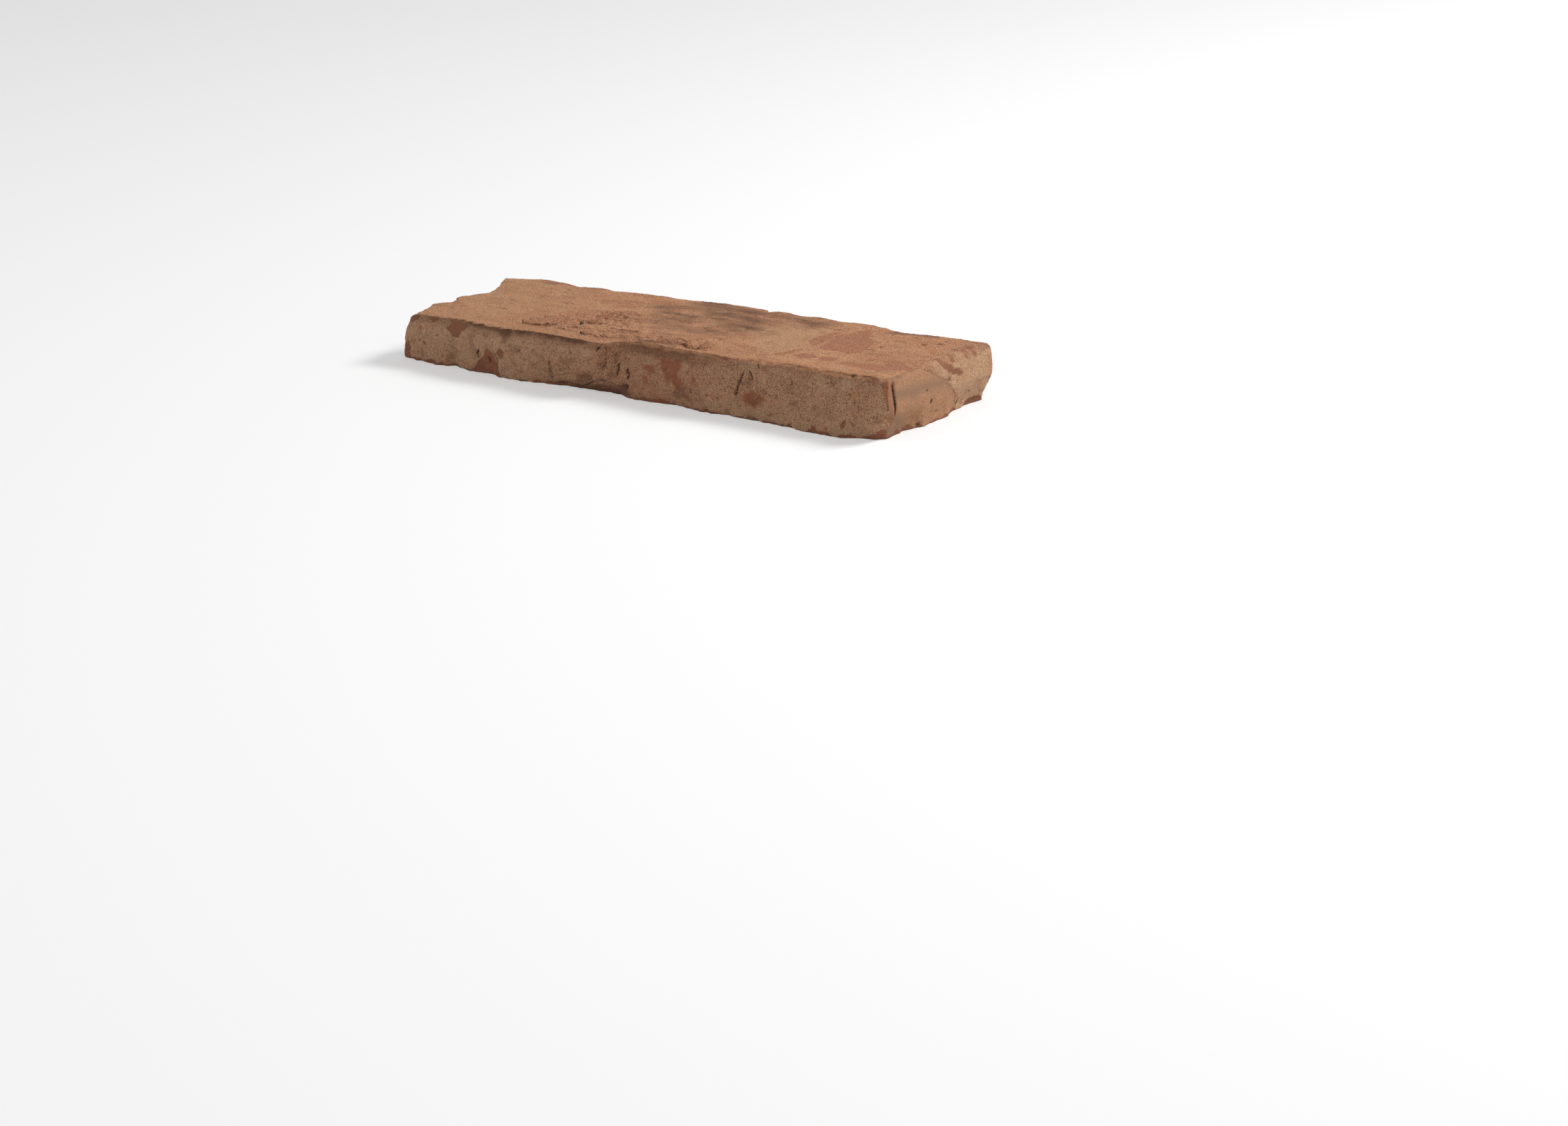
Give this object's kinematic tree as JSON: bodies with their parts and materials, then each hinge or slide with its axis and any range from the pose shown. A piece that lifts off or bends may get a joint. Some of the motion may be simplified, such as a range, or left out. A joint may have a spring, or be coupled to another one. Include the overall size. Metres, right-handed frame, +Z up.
{
  "type": "brick slip",
  "caption": "Thin sawn slice of an old hand-moulded brick, with a sanded face, a flat sawn underside, one broken end and one rolled end, for facing a wall.",
  "frame": {"origin": "centre of the bounding box, on the sawn underside", "axes": "+X along the length towards the whole, rolled end, +Y towards the torn long side, +Z up out of the moulded face"},
  "size_m": [0.256, 0.0728, 0.0245],
  "materials": {
    "fired_clay": "matt, sanded"
  },
  "bodies": {
    "root": {"brick_slip": "fired_clay"}
  },
  "joints": []
}
